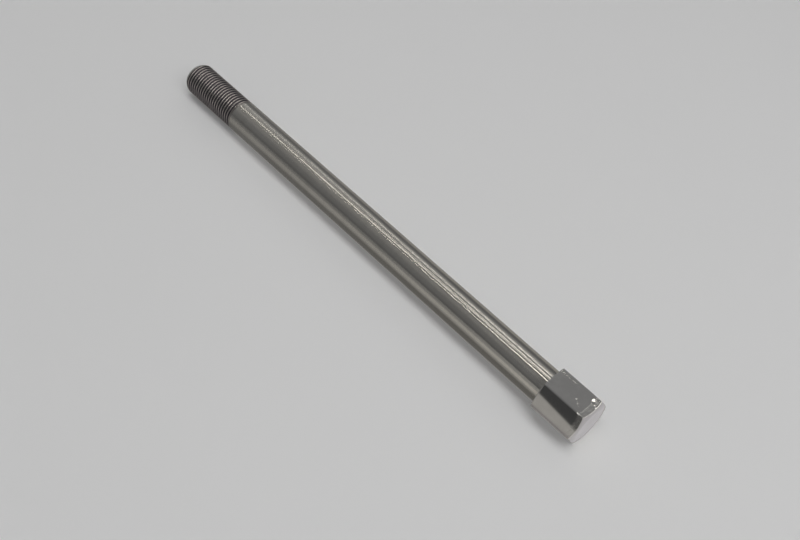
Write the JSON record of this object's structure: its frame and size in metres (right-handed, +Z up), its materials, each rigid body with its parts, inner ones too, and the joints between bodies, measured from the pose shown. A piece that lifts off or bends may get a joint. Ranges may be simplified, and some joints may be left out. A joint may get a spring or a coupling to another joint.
{
  "type": "cylinder head bolt",
  "caption": "Long one-piece bolt with a plain ground shank, a fine-threaded end and a slim polished hexagon head.",
  "frame": {"origin": "centre of the bearing face under the head, on the bolt's axis", "axes": "+X along the bolt from the head to the threaded tip; +Z up, square to the flat of the hexagon that is on top; one flat faces down, as the bolt lies"},
  "size_m": [0.154, 0.0136, 0.0118],
  "materials": {
    "stainless_steel": "shank ground with fine rings round it, head polished to a mirror, thread left as cut"
  },
  "bodies": {
    "root": {"cylinder_head_bolt": "stainless_steel"}
  },
  "joints": []
}
